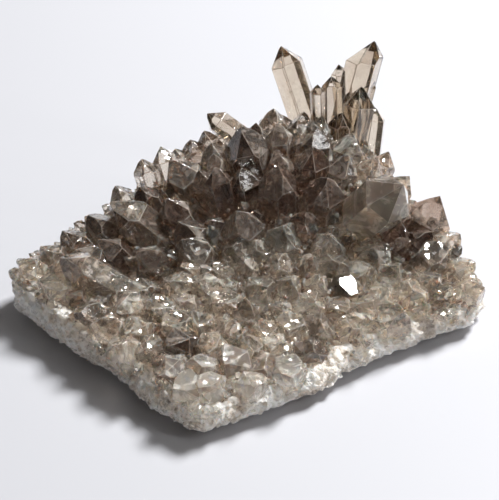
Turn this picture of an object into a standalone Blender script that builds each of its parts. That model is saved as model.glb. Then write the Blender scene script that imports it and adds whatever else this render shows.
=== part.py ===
# Smoky quartz cluster: a plate of massive quartz whose whole top is a crust of small
# crystals, with the large crystals as pieces of their own, each seated in its socket.
# Metres, +Z up, origin on the surface it rests on, under the middle of its box, +X to the
# viewer's right and +Y away from the viewer. Lengths below are in millimetres and plan
# places are counted from the plan's own zero, until a mesh is placed.

import math

import bmesh
import bpy
import numpy as np
from mathutils import Matrix, Vector, noise

MM = 0.001
CLUSTER = "smoky_quartz_cluster"
PLAN_ORIGIN = (-0.75, 2.3)      # the plan place that the origin stands under

# Quartz geometry: the six end faces stand 38.2 degrees off the long axis.
END_FACE_TILT = math.radians(51.8)
SOCKET_GAP = 0.3
SIDE_SPREAD = 0.1               # how unequal the side faces' distances are, as a share
MINOR_STEP = (0.0, 0.14)        # how far an end face lies behind the tip, in half widths
MAJOR_STEP = (0.16, 0.42)       # the same for every second end face

# Plate: the lower rim seen from above, anticlockwise from the left corner.
RIM = [
    (-57, -3), (-55, -9), (-44, -19.5), (-31, -31), (-19.5, -43), (-14.5, -47.5), (-10, -49.5),
    (-4, -46.5), (8, -40), (22, -30.5), (33, -23), (45, -17), (52, -14.5), (55.5, -8), (53, 2),
    (48, 11), (42, 20), (37, 30), (31, 40), (21, 47), (6, 47), (-10, 39), (-24, 30), (-35, 20),
    (-46, 9), (-53, 2),
]
PLATE_CENTRE = (0.0, -4.0)
RIM_SEGMENTS = 60
TOP_RINGS = 7
TOP_SHARE = 0.965       # share of the rim's radius that the top reaches
RIM_LIFT = 3.0          # height of the lower rim over the surface that the plate rests on
SEAT_SHARE = 0.72       # share of the rim's radius that rests flat
FRONT_HEIGHT = 8.5      # height of the top at the front corner
BACK_RISE = 4.0         # how much higher the top lies at the back left
MOUND_HEIGHT = 15.0
MOUND_CENTRE = (13.0, 24.0)
MOUND_LEFT = 33.0
MOUND_RIGHT = 27.0
MOUND_DEPTH = 24.0
EDGE_DROP = 1.5         # how far the top rounds off at the left end of the rim
RIGHT_DROP = 0.012      # how much more it does for each millimetre to the right
BACK_DROP = 4.0         # and how much more along the back
DROP_REACH = 3.2
ROUGHNESS = 0.9         # depth of the broken surface of the rim and the underside

# Crystals fan out from a point under the mound.
FAN_POINT = (10.0, 17.0, -32.0)
MOST_LEAN = math.radians(50)
LARGE_CLEARANCE = 0.8   # how far the druse keeps from the sides of the large crystals
NAMED_CLEARANCE = 1.0   # how far the unnamed crystals keep from the named places

# Large crystals that are pieces of their own: foot on the top (x, y), lean to the right
# and to the back in degrees, width across the flats, length over the top, length below
# it, turn about the long axis, unevenness of the tip, direction in degrees and strength
# of the leading end face, and whether the lower end is pointed too.
LARGE = {
    "double_terminated_crystal": [(27.8, 8.4, 28, -25, 11.4, 17.5, 8.0, 17, 0.1, 0, 0.0, True)],
    "tall_left_crystal": [(16.0, 43.0, -20.5, 23, 7.6, 24.4, 2.5, 12, 0.25, 0, 0.0, False)],
    "crown_crystals": [
        (23.9, 37.6, 14, 19, 8.0, 25.6, 3.5, 8, 0.3, 40, 0.4, False),
        (25.8, 34.6, 8, 18, 8.0, 15.5, 5.0, 25, 0.5, 0, 0.0, False),
        (30.6, 36.0, 6, 24, 5.8, 13.0, 6.0, 0, 0.6, 0, 0.0, False),
        (26.8, 38.4, 13, 15, 3.2, 18.4, 7.0, 30, 0.6, 0, 0.0, False),
        (25.6, 38.0, -9, 20, 4.2, 21.0, 6.0, 10, 0.6, 0, 0.0, False),
        (20.9, 33.6, -2, 18, 4.4, 16.4, 6.0, 20, 0.6, 0, 0.0, False),
        (17.8, 33.0, -4, 14, 3.6, 14.0, 5.0, 0, 0.7, 0, 0.0, False),
        (22.4, 32.4, 4, 12, 5.4, 8.0, 6.0, 0, 0.8, 0, 0.0, False),
    ],
    "leaning_pale_crystal": [(-1.0, 34.5, -56, 22, 5.8, 12.0, 5.0, 15, 0.6, 0, 0.0, False)],
    "dark_ridge_crystal": [(0.0, 23.0, -14, 6, 10.5, 9.0, 7.0, 20, 0.7, 0, 0.0, False)],
    "striated_left_crystal": [(-25.5, 8.0, -46, 6, 10.0, 11.0, 6.0, 10, 0.7, 0, 0.0, False)],
    "lower_left_crystal": [(-34.0, -9.0, -54, 4, 8.6, 12.0, 5.0, 0, 0.8, 0, 0.0, False)],
    "right_shelf_crystal": [(43.3, 13.0, 20, 8, 10.4, 8.2, 5.0, 10, 0.8, 0, 0.0, False)],
}

# Named places of the druse: foot (x, y), lean to the right and back in degrees, width,
# length over the top, length below it, turn.
DRUSE = [
    (6, 36, 0, 16, 7.6, 7, 4, 0), (13, 33, 5, 14, 7.6, 6.5, 4, 12), (9, 41, -12, 34, 6, 5, 4, 0),
    (17, 31.5, 8, 18, 6, 6, 4, 0), (-8, 19.5, -8, 12, 5, 6.5, 4, 0), (-6.5, 12, -12, 16, 6.6, 9, 4, 8),
    (7.5, 25, -4, 10, 7, 7, 4, 14), (7, 11, -2, 4, 9.4, 8.5, 5, 30), (15, 17, 4, 4, 7.4, 7, 4, 0),
    (17.5, 10, 8, -4, 9, 7.5, 4, 15), (-15.5, 20, -30, 4, 9.2, 8, 4, 0), (-9.5, 15, -22, 8, 6, 7, 4, 20),
    (-24, 22, -18, 16, 5.8, 8.5, 4, 0), (-20, 25.5, -16, 18, 5.8, 8.5, 4, 10),
    (-29.5, 15.5, -26, 12, 5.8, 7.5, 4, 0), (-17, 29, -18, 20, 4.8, 5.5, 4, 0),
    (-13.5, 30, -14, 18, 6.4, 6, 4, 5), (-9.5, 31.5, -18, 20, 5, 6.5, 4, 0),
    (-6, 36.5, -20, 24, 5, 5.5, 4, 0), (-41, 3, -38, 10, 6.8, 6, 4, 0), (-35, 8, -36, 8, 6.8, 6.5, 4, 0),
    (-46, -1, -44, 6, 6.2, 5, 4, 12), (-51, -5, -48, 0, 6, 4.5, 4, 0), (47, 5.5, 40, -4, 7, 5.5, 4, 0),
    (49.5, -3, 44, -10, 6.4, 5.5, 4, 0), (51, -10, 48, -14, 6, 5, 4, 0), (37, 21, 32, 14, 6.4, 5, 4, 0),
    (33, 28, 24, 22, 6, 5, 4, 0), (24, 26, 14, 10, 7.6, 6, 4, 0), (16, 24.5, 4, 8, 7, 6, 4, 22),
    (-17, 9, -26, 2, 8, 7, 4, 0), (-1.5, 4, -12, -8, 9, 6, 4, 10), (8, 1, -2, -16, 8.6, 5.5, 4, 0),
    (18.5, -1, 12, -20, 8, 5, 4, 14), (-13.5, -1, -24, -14, 8.4, 6, 4, 0),
    (-23, -3.5, -34, -10, 7.6, 6.5, 4, 0),
    (33, -6, 26, -18, 7.6, 4.5, 4, 0), (42, -8, 34, -20, 7, 4.5, 4, 0), (29.5, 21.5, 22, 8, 7, 5, 4, 0),
    (22.5, 18.5, 14, 2, 7.4, 5.5, 4, 20), (-1, 14, -8, 4, 7.4, 6, 4, 0), (-24, 15, -26, 8, 6.6, 6.5, 4, 0),
    (-32, 0, -38, 2, 7.4, 6, 4, 0), (13, 4, 4, -10, 7, 5, 4, 8), (36, 2, 32, -14, 6.4, 4, 4, 0),
    (41, 5, 36, -8, 6.4, 4.5, 4, 0), (-8, 24.5, -12, 14, 6.6, 6, 4, 0), (2, 30, -4, 14, 6.6, 5.5, 4, 0),
]

# Druse crystals with no place of their own: one in each cell of a six-sided grid.
GRID_CORNER = (-63.0, -54.0)
GRID_SPAN = (130, 110)
CELL = 6.9
ROW_STEP = 0.866 * CELL
CELL_JITTER = 1.5
EDGE_MARGIN = 2.2
FINE_WIDTH = 7.2
FINE_HEIGHT = 4.4
FINE_ROOT = 4.0
FINE_SIZES = (0.75, 1.3)
FINE_WANDER = 0.2       # spread of the directions about the fan's
DRUSE_SEED = 41

# Base colour, roughness and transmission of each piece.
FINISHES = {
    "quartz_plate": ((0.42, 0.38, 0.34, 1.0), 0.35, 0.3),
    "double_terminated_crystal": ((0.33, 0.26, 0.22, 1.0), 0.08, 0.8),
    "tall_left_crystal": ((0.66, 0.58, 0.48, 1.0), 0.06, 0.9),
    "crown_crystals": ((0.55, 0.47, 0.38, 1.0), 0.08, 0.8),
    "leaning_pale_crystal": ((0.68, 0.62, 0.52, 1.0), 0.06, 0.9),
    "dark_ridge_crystal": ((0.20, 0.16, 0.14, 1.0), 0.08, 0.7),
    "striated_left_crystal": ((0.36, 0.31, 0.27, 1.0), 0.12, 0.7),
    "lower_left_crystal": ((0.40, 0.35, 0.29, 1.0), 0.12, 0.7),
    "right_shelf_crystal": ((0.48, 0.42, 0.36, 1.0), 0.12, 0.7),
}


def rim_radius(angle):
    """Distance from the plate's centre to its rim, read round the outline."""
    rim = np.array(RIM) - np.array(PLATE_CENTRE)
    angles = np.arctan2(rim[:, 1], rim[:, 0])
    order = np.argsort(angles)
    reach = np.hypot(rim[:, 0], rim[:, 1])
    return np.interp(angle, angles[order], reach[order], period=2.0 * math.pi)


def inside_margin(x, y):
    """How far inside the rim a place lies, along the line from the plate's centre."""
    dx = x - PLATE_CENTRE[0]
    dy = y - PLATE_CENTRE[1]
    return rim_radius(np.arctan2(dy, dx)) - np.hypot(dx, dy)


def top_height(x, y):
    """Height of the top: a gentle rise to the back left, one broad mound, round edges."""
    rise = np.clip((-0.5 * x + 0.87 * y + 40.0) / 80.0, 0.0, 1.2)
    spread = np.where(x > MOUND_CENTRE[0], MOUND_RIGHT, MOUND_LEFT)
    across = (x - MOUND_CENTRE[0]) / spread
    along = (y - MOUND_CENTRE[1]) / MOUND_DEPTH
    height = FRONT_HEIGHT + BACK_RISE * rise + MOUND_HEIGHT * np.exp(-(across**2 + along**2))
    back = np.clip((y - 5.0) / 25.0, 0.0, 1.0)
    drop = EDGE_DROP + RIGHT_DROP * (x - RIM[0][0]) + BACK_DROP * back
    return height - drop * np.exp(-np.maximum(inside_margin(x, y), 0.0) / DROP_REACH)


def fan_direction(x, y, z):
    """Unit direction away from the fan point, leaning no more than the most lean."""
    way = np.array([x, y, z]) - np.array(FAN_POINT)
    flat = math.hypot(way[0], way[1])
    lean = min(math.atan2(flat, way[2]), MOST_LEAN)
    side = way[:2] / max(flat, 1e-6)
    return np.array([side[0] * math.sin(lean), side[1] * math.sin(lean), math.cos(lean)])


def lean_direction(right, back):
    """Unit direction that leans so many degrees to the right and to the back."""
    way = np.array([math.tan(math.radians(right)), math.tan(math.radians(back)), 1.0])
    return way / np.linalg.norm(way)


def new_object(name, mesh, collection):
    item = bpy.data.objects.new(name, mesh)
    collection.objects.link(item)
    return item


def cut_half_space(bm, point, normal):
    """Remove what lies outside a plane and close the opening with one face."""
    everything = bm.verts[:] + bm.edges[:] + bm.faces[:]
    bmesh.ops.bisect_plane(bm, geom=everything, dist=1e-7, plane_co=point, plane_no=normal, clear_outer=True)
    open_edges = [edge for edge in bm.edges if edge.is_boundary]
    bmesh.ops.holes_fill(bm, edges=open_edges, sides=0)


class Crystal:
    """One quartz crystal: a six-sided prism with unequal end faces."""

    def __init__(self, foot, direction, size, turn, rng, tip=(1.0, 0.0, 0.0), two_ended=False):
        width, self.above, self.below = size
        uneven, lead, strength = tip
        self.foot = np.array(foot)
        self.direction = direction
        self.half_width = 0.5 * width
        self.turn = math.radians(turn)
        self.sides = 1.0 + SIDE_SPREAD * uneven * rng.uniform(-1.0, 1.0, 6)
        major = int(rng.integers(0, 2))
        steps = rng.uniform(*MINOR_STEP, 6)
        steps[major::2] += rng.uniform(*MAJOR_STEP, 3)
        around = self.turn + np.arange(6) * math.pi / 3.0 - math.radians(lead)
        steps = uneven * steps + strength * (1.0 - np.cos(around))
        self.tips = steps - steps.min()
        self.lower_tips = np.roll(self.tips, 3)
        self.two_ended = two_ended

    def planes(self, grow=0.0):
        """Side and end faces as (point, outward normal) in the crystal's own frame."""
        found = []
        for side in range(6):
            angle = self.turn + side * math.pi / 3.0
            around = Vector((math.cos(angle), math.sin(angle), 0.0))
            found.append((around * (self.half_width * self.sides[side] + grow), around))
            end = around * math.sin(END_FACE_TILT)
            end.z = math.cos(END_FACE_TILT)
            tip = self.above + self.tips[side] * self.half_width
            found.append((Vector((0.0, 0.0, tip)) + end * grow, end))
            if self.two_ended:
                low = end.copy()
                low.z = -low.z
                depth = self.below + self.lower_tips[side] * self.half_width
                found.append((Vector((0.0, 0.0, -depth)) + low * grow, low))
        return found

    def mesh(self, name, grow=0.0):
        """Closed mesh of the crystal in metres, its axis turned to its direction."""
        reach = 2.0 * (self.above + self.below + self.half_width + grow)
        floor = -reach if self.two_ended else -(self.below + grow)
        bm = bmesh.new()
        bmesh.ops.create_cube(bm, size=1.0)
        bmesh.ops.scale(bm, vec=(reach, reach, reach - floor), verts=bm.verts[:])
        bmesh.ops.translate(bm, vec=(0.0, 0.0, 0.5 * (reach + floor)), verts=bm.verts[:])
        for point, normal in self.planes(grow):
            cut_half_space(bm, point, normal)
        axis = Vector(self.direction)
        foot = Vector(self.foot) - Vector((*PLAN_ORIGIN, 0.0))
        place = Matrix.Translation(foot) @ axis.to_track_quat("Z", "Y").to_matrix().to_4x4()
        bmesh.ops.recalc_face_normals(bm, faces=bm.faces[:])
        if bm.calc_volume(signed=True) < 0.0:
            bmesh.ops.reverse_faces(bm, faces=bm.faces[:])
        bm.transform(Matrix.Scale(MM, 4) @ place)
        mesh = bpy.data.meshes.new(name)
        bm.to_mesh(mesh)
        bm.free()
        return mesh


def ring_place(ring, top):
    """Share of the rim's radius and height for each ring, from the top's middle down."""
    if ring <= TOP_RINGS:
        return TOP_SHARE * ring / TOP_RINGS, top
    steps = {
        1: (0.995, 0.55 * top + 0.45 * RIM_LIFT),
        2: (1.0, RIM_LIFT),
        3: (0.93, 0.4 * RIM_LIFT),
        4: (SEAT_SHARE, 0.0),
        5: (0.4, 0.0),
        6: (0.0, 0.0),
    }
    return steps[ring - TOP_RINGS]


def plate_mesh():
    """The massive quartz: a ball reshaped to the plate's top, rim and flat seat."""
    rings = TOP_RINGS + 6
    bm = bmesh.new()
    bmesh.ops.create_uvsphere(bm, u_segments=RIM_SEGMENTS, v_segments=rings, radius=1.0)
    for vert in bm.verts:
        ring = round(math.acos(max(-1.0, min(1.0, vert.co.z))) / math.pi * rings)
        angle = math.atan2(vert.co.y, vert.co.x) if 0 < ring < rings else 0.0
        reach = float(rim_radius(angle))
        share = ring_place(ring, 0.0)[0]
        x = PLATE_CENTRE[0] + share * reach * math.cos(angle)
        y = PLATE_CENTRE[1] + share * reach * math.sin(angle)
        z = ring_place(ring, float(top_height(x, y)))[1]
        if TOP_RINGS <= ring <= TOP_RINGS + 3:
            rough = ROUGHNESS * noise.noise(Vector((x, y, 3.0 * z)) * 0.16)
            x += rough * math.cos(angle)
            y += rough * math.sin(angle)
            z += 0.5 * ROUGHNESS * noise.noise(Vector((y, x, z)) * 0.2)
        vert.co = Vector((x - PLAN_ORIGIN[0], y - PLAN_ORIGIN[1], z)) * MM
    seat = [face for face in bm.faces if all(abs(vert.co.z) < 1e-7 for vert in face.verts)]
    bmesh.ops.dissolve_faces(bm, faces=seat, use_verts=True)
    bmesh.ops.recalc_face_normals(bm, faces=bm.faces[:])
    mesh = bpy.data.meshes.new("quartz_plate")
    bm.to_mesh(mesh)
    bm.free()
    return mesh


def seated_crystal(row, rng):
    x, y, right, back, width, above, below, turn = row[:8]
    z = float(top_height(np.float64(x), np.float64(y)))
    size = (width, above, below)
    if len(row) == 8:
        return Crystal((x, y, z), lean_direction(right, back), size, turn, rng)
    return Crystal((x, y, z), lean_direction(right, back), size, turn, rng, row[8:11], row[11])


def near_large(x, y, z, large):
    """True where a druse crystal would stand inside a large one."""
    for crystal in large:
        way = np.array([x, y, z]) - crystal.foot
        along = float(np.clip(way @ crystal.direction, -crystal.below, crystal.above))
        if np.linalg.norm(way - along * crystal.direction) < crystal.half_width + LARGE_CLEARANCE:
            return True
    return False


def near_named(x, y):
    return any(math.hypot(x - row[0], y - row[1]) < 0.5 * row[4] + NAMED_CLEARANCE for row in DRUSE)


def fine_druse(large):
    """Crystals of the crust that have no named place, one in each grid cell."""
    rng = np.random.default_rng(DRUSE_SEED)
    found = []
    for row in range(int(GRID_SPAN[1] / ROW_STEP)):
        for column in range(int(GRID_SPAN[0] / CELL)):
            shift = 0.5 * CELL if row % 2 else 0.0
            x = GRID_CORNER[0] + column * CELL + shift + rng.uniform(-CELL_JITTER, CELL_JITTER)
            y = GRID_CORNER[1] + row * ROW_STEP + rng.uniform(-CELL_JITTER, CELL_JITTER)
            size = rng.uniform(*FINE_SIZES)
            wander = rng.normal(0.0, FINE_WANDER, 2)
            turn = rng.uniform(0.0, 60.0)
            seed = int(rng.integers(0, 1 << 30))
            z = float(top_height(np.float64(x), np.float64(y)))
            if inside_margin(x, y) < EDGE_MARGIN or near_named(x, y) or near_large(x, y, z, large):
                continue
            direction = fan_direction(x, y, z)
            direction = direction + np.array([wander[0], wander[1], 0.0])
            direction = direction / np.linalg.norm(direction)
            own = np.random.default_rng(seed)
            lengths = (FINE_WIDTH * size, FINE_HEIGHT * size, FINE_ROOT)
            found.append(Crystal((x, y, z), direction, lengths, turn, own))
    return found


def new_collection(name):
    found = bpy.data.collections.new(name)
    bpy.context.scene.collection.children.link(found)
    return found


def add_boolean(item, name, operation, operands):
    step = item.modifiers.new(name, "BOOLEAN")
    step.operation = operation
    step.solver = "EXACT"
    step.operand_type = "COLLECTION"
    step.collection = operands


def bake_main_body(item):
    """Apply the modifiers and keep the one body that carries everything."""
    graph = bpy.context.evaluated_depsgraph_get()
    mesh = bpy.data.meshes.new_from_object(item.evaluated_get(graph))
    item.modifiers.clear()
    item.data = mesh
    bm = bmesh.new()
    bm.from_mesh(mesh)
    left = set(bm.faces)
    bodies = []
    while left:
        group = {left.pop()}
        waiting = list(group)
        while waiting:
            face = waiting.pop()
            for edge in face.edges:
                for other in edge.link_faces:
                    if other in left:
                        left.remove(other)
                        group.add(other)
                        waiting.append(other)
        bodies.append(group)
    bodies.sort(key=len)
    for group in bodies[:-1]:
        bmesh.ops.delete(bm, geom=list(group), context="FACES")
    bm.to_mesh(mesh)
    bm.free()


def finish(item):
    colour, roughness, transmission = FINISHES[item.name]
    material = bpy.data.materials.new(item.name)
    material.use_nodes = True
    shader = material.node_tree.nodes["Principled BSDF"]
    shader.inputs["Base Color"].default_value = colour
    shader.inputs["Roughness"].default_value = roughness
    shader.inputs["Metallic"].default_value = 0.0
    shader.inputs["Transmission Weight"].default_value = transmission
    shader.inputs["IOR"].default_value = 1.544
    item.data.materials.clear()
    item.data.materials.append(material)


def cutter_object(name, mesh, collection):
    item = new_object(name, mesh, collection)
    item.hide_render = True
    item.display_type = "WIRE"
    return item


def build():
    for item in list(bpy.data.objects):
        bpy.data.objects.remove(item)
    parts = new_collection(CLUSTER)
    rng = np.random.default_rng(DRUSE_SEED)

    large = {name: [seated_crystal(row, rng) for row in rows] for name, rows in LARGE.items()}
    every_large = [crystal for crystals in large.values() for crystal in crystals]
    druse = [seated_crystal(row, rng) for row in DRUSE] + fine_druse(every_large)

    crust = new_collection("druse_operands")
    for index, crystal in enumerate(druse):
        cutter_object(f"druse_{index:03d}", crystal.mesh("druse"), crust)
    sockets = new_collection("socket_cutters")
    for index, crystal in enumerate(every_large):
        cutter_object(f"socket_{index:03d}", crystal.mesh("socket", SOCKET_GAP), sockets)

    plate = new_object("quartz_plate", plate_mesh(), parts)
    add_boolean(plate, "grow druse", "UNION", crust)
    add_boolean(plate, "cut sockets", "DIFFERENCE", sockets)
    bake_main_body(plate)
    finish(plate)

    for name, crystals in large.items():
        first = new_object(name, crystals[0].mesh(name), parts)
        if len(crystals) > 1:
            joined = new_collection(name + "_operands")
            for index, crystal in enumerate(crystals[1:]):
                cutter_object(f"{name}_{index:02d}", crystal.mesh(name), joined)
            add_boolean(first, "join crystals", "UNION", joined)
            bake_main_body(first)
        finish(first)


build()
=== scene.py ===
# Looks of a smoky quartz cluster: a plate of milky massive quartz, its crust of smoky crystals and
# the large crystals that stand out of it. Sizes are in millimetres on the cluster's own plan, with
# +X to the right and +Y away from the viewer, and become metres when a mesh is made. Angles are in
# degrees in the dictionaries.

import math
from itertools import combinations

import bmesh
import bpy
import numpy as np
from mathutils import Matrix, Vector


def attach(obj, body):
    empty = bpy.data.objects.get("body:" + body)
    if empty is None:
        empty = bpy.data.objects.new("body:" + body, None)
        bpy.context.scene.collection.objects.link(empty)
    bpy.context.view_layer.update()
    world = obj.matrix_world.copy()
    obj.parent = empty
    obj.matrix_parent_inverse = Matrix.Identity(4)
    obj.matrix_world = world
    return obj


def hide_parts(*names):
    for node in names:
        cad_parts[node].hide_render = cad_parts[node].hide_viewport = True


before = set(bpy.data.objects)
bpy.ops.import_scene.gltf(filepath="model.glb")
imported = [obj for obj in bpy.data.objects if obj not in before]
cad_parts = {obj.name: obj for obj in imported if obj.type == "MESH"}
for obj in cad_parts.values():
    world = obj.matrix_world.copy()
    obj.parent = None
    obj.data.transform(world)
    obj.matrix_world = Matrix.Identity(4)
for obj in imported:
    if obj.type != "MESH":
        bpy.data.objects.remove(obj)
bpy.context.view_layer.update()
print("stage: frame loaded")

mm = 0.001
planOrigin = np.array([-0.75, 2.3, 0.0])   # place on the plan that is the model's origin
endFaceTilt = math.radians(51.8)           # between an end face's outward way and the long axis
sixths = np.arange(6) * math.pi / 3.0      # a prism's sides are a sixth of a turn apart
quartzIor = 1.544
plainTip = (1.0, 0.0, 0.0)                 # unevenness, lead direction, lead strength

# The plate's outline and top, the same as the solid's
plateForm = {
    "rim": [(-57, -3), (-55, -9), (-44, -19.5), (-31, -31), (-19.5, -43), (-14.5, -47.5),
            (-10, -49.5), (-4, -46.5), (8, -40), (22, -30.5), (33, -23), (45, -17), (52, -14.5),
            (55.5, -8), (53, 2), (48, 11), (42, 20), (37, 30), (31, 40), (21, 47), (6, 47),
            (-10, 39), (-24, 30), (-35, 20), (-46, 9), (-53, 2)],
    "centre": (0.0, -4.0),
    "rimLift": 3.0,
    "seatShare": 0.72,
    "frontHeight": 8.5,
    "backRise": 4.0,
    "riseWay": (-0.5, 0.87),
    "riseFrom": 40.0,
    "riseOver": 80.0,
    "riseLimit": 1.2,
    "moundHeight": 15.0,
    "moundCentre": (13.0, 24.0),
    "moundLeft": 33.0,
    "moundRight": 27.0,
    "moundDepth": 24.0,
    "edgeDrop": 1.5,
    "rightDrop": 0.012,
    "backDrop": 4.0,
    "backDropFrom": 5.0,
    "backDropOver": 25.0,
    "dropReach": 3.2,
}

rimPoints = np.array(plateForm["rim"], float) - np.array(plateForm["centre"])
rimAngles = np.arctan2(rimPoints[:, 1], rimPoints[:, 0])
rimOrder = np.argsort(rimAngles)
rimReach = np.hypot(rimPoints[:, 0], rimPoints[:, 1])


# Distance from the plate's centre to its rim in a direction: read off between the two outline
# points whose directions lie on either side of it
def rimRadius(angle):
    return np.interp(angle, rimAngles[rimOrder], rimReach[rimOrder], period=2.0 * math.pi)


# How far inside the rim a place lies: the rim's distance in its direction less its own distance
def insideMargin(x, y):
    dx = x - plateForm["centre"][0]
    dy = y - plateForm["centre"][1]
    return rimRadius(np.arctan2(dy, dx)) - np.hypot(dx, dy)


# Height of the top: a front height, a gentle rise to the back left and one broad mound shaped like
# a bell, less a drop that dies away by e for each reach inside the rim
def topHeight(x, y):
    form = plateForm
    up = form["riseWay"][0] * x + form["riseWay"][1] * y
    rise = np.clip((up + form["riseFrom"]) / form["riseOver"], 0.0, form["riseLimit"])
    spread = np.where(x > form["moundCentre"][0], form["moundRight"], form["moundLeft"])
    across = (x - form["moundCentre"][0]) / spread
    along = (y - form["moundCentre"][1]) / form["moundDepth"]
    height = form["frontHeight"] + form["backRise"] * rise
    height = height + form["moundHeight"] * np.exp(-(across**2 + along**2))
    back = np.clip((y - form["backDropFrom"]) / form["backDropOver"], 0.0, 1.0)
    drop = form["edgeDrop"] + form["rightDrop"] * (x - form["rim"][0][0]) + form["backDrop"] * back
    return height - drop * np.exp(-np.maximum(insideMargin(x, y), 0.0) / form["dropReach"])


# The place on the top above one plan place
def onTop(x, y):
    return np.array([x, y, float(topHeight(np.float64(x), np.float64(y)))])


# Large crystals: foot x, y, lean right and back in degrees, width, length over the top, length
# below it, turn, unevenness of the tip, lead direction, lead strength, pointed below too
largeCrystals = {
    "double_terminated_crystal": [(27.8, 8.4, 28, -25, 11.4, 17.5, 8.0, 17, 0.1, 0, 0.0, True)],
    "tall_left_crystal": [(16.0, 43.0, -20.5, 23, 7.6, 24.4, 2.5, 12, 0.25, 0, 0.0, False)],
    "crown_crystals": [
        (23.9, 37.6, 14, 19, 8.0, 25.6, 3.5, 8, 0.3, 40, 0.4, False),
        (25.8, 34.6, 8, 18, 8.0, 15.5, 5.0, 25, 0.5, 0, 0.0, False),
        (30.6, 36.0, 6, 24, 5.8, 13.0, 6.0, 0, 0.6, 0, 0.0, False),
        (26.8, 38.4, 13, 15, 3.2, 18.4, 7.0, 30, 0.6, 0, 0.0, False),
        (25.6, 38.0, -9, 20, 4.2, 21.0, 6.0, 10, 0.6, 0, 0.0, False),
        (20.9, 33.6, -2, 18, 4.4, 16.4, 6.0, 20, 0.6, 0, 0.0, False),
        (17.8, 33.0, -4, 14, 3.6, 14.0, 5.0, 0, 0.7, 0, 0.0, False),
        (22.4, 32.4, 4, 12, 5.4, 8.0, 6.0, 0, 0.8, 0, 0.0, False),
    ],
    "leaning_pale_crystal": [(-1.0, 34.5, -56, 22, 5.8, 12.0, 5.0, 15, 0.6, 0, 0.0, False)],
    "dark_ridge_crystal": [(0.0, 23.0, -14, 6, 10.5, 9.0, 7.0, 20, 0.7, 0, 0.0, False)],
    "striated_left_crystal": [(-25.5, 8.0, -46, 6, 10.0, 11.0, 6.0, 10, 0.7, 0, 0.0, False)],
    "lower_left_crystal": [(-34.0, -9.0, -54, 4, 8.6, 12.0, 5.0, 0, 0.8, 0, 0.0, False)],
    "right_shelf_crystal": [(43.3, 13.0, 20, 8, 10.4, 8.2, 5.0, 10, 0.8, 0, 0.0, False)],
}

# Crust crystals with a place of their own: foot x, y, lean right and back in degrees, width,
# length over the top, length below it, turn
crustCrystals = [
    (6, 36, 0, 16, 7.6, 7, 4, 0), (13, 33, 5, 14, 7.6, 6.5, 4, 12), (9, 41, -12, 34, 6, 5, 4, 0),
    (17, 31.5, 8, 18, 6, 6, 4, 0), (-8, 19.5, -8, 12, 5, 6.5, 4, 0),
    (-6.5, 12, -12, 16, 6.6, 9, 4, 8), (7.5, 25, -4, 10, 7, 7, 4, 14),
    (7, 11, -2, 4, 9.4, 8.5, 5, 30), (15, 17, 4, 4, 7.4, 7, 4, 0),
    (17.5, 10, 8, -4, 9, 7.5, 4, 15), (-15.5, 20, -30, 4, 9.2, 8, 4, 0),
    (-9.5, 15, -22, 8, 6, 7, 4, 20), (-24, 22, -18, 16, 5.8, 8.5, 4, 0),
    (-20, 25.5, -16, 18, 5.8, 8.5, 4, 10), (-29.5, 15.5, -26, 12, 5.8, 7.5, 4, 0),
    (-17, 29, -18, 20, 4.8, 5.5, 4, 0), (-13.5, 30, -14, 18, 6.4, 6, 4, 5),
    (-9.5, 31.5, -18, 20, 5, 6.5, 4, 0), (-6, 36.5, -20, 24, 5, 5.5, 4, 0),
    (-41, 3, -38, 10, 6.8, 6, 4, 0), (-35, 8, -36, 8, 6.8, 6.5, 4, 0),
    (-46, -1, -44, 6, 6.2, 5, 4, 12), (-51, -5, -48, 0, 6, 4.5, 4, 0),
    (47, 5.5, 40, -4, 7, 5.5, 4, 0), (49.5, -3, 44, -10, 6.4, 5.5, 4, 0),
    (51, -10, 48, -14, 6, 5, 4, 0), (37, 21, 32, 14, 6.4, 5, 4, 0), (33, 28, 24, 22, 6, 5, 4, 0),
    (24, 26, 14, 10, 7.6, 6, 4, 0), (16, 24.5, 4, 8, 7, 6, 4, 22), (-17, 9, -26, 2, 8, 7, 4, 0),
    (-1.5, 4, -12, -8, 9, 6, 4, 10), (8, 1, -2, -16, 8.6, 5.5, 4, 0),
    (18.5, -1, 12, -20, 8, 5, 4, 14), (-13.5, -1, -24, -14, 8.4, 6, 4, 0),
    (-23, -3.5, -34, -10, 7.6, 6.5, 4, 0), (33, -6, 26, -18, 7.6, 4.5, 4, 0),
    (42, -8, 34, -20, 7, 4.5, 4, 0), (29.5, 21.5, 22, 8, 7, 5, 4, 0),
    (22.5, 18.5, 14, 2, 7.4, 5.5, 4, 20), (-1, 14, -8, 4, 7.4, 6, 4, 0),
    (-24, 15, -26, 8, 6.6, 6.5, 4, 0), (-32, 0, -38, 2, 7.4, 6, 4, 0),
    (13, 4, 4, -10, 7, 5, 4, 8), (36, 2, 32, -14, 6.4, 4, 4, 0), (41, 5, 36, -8, 6.4, 4.5, 4, 0),
    (-8, 24.5, -12, 14, 6.6, 6, 4, 0), (2, 30, -4, 14, 6.6, 5.5, 4, 0),
]

# The crust's other wide crystals, one in each cell of a grid whose every second row is shifted
gridCrust = {
    "corner": (-63.0, -54.0),
    "span": (130, 110),
    "cell": 6.9,
    "rowPitch": 0.866,
    "jitter": 1.5,
    "edgeMargin": 2.2,
    "keepOff": 1.0,
    "keepOffLarge": 0.8,
    "width": 7.2,
    "height": 4.4,
    "root": 4.0,
    "sizes": (0.75, 1.3),
    "wander": 0.2,
    "seed": 41,
}
fanPoint = np.array([10.0, 17.0, -32.0])   # the crystals fan out from a point under the mound
mostLean = math.radians(50)


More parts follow.
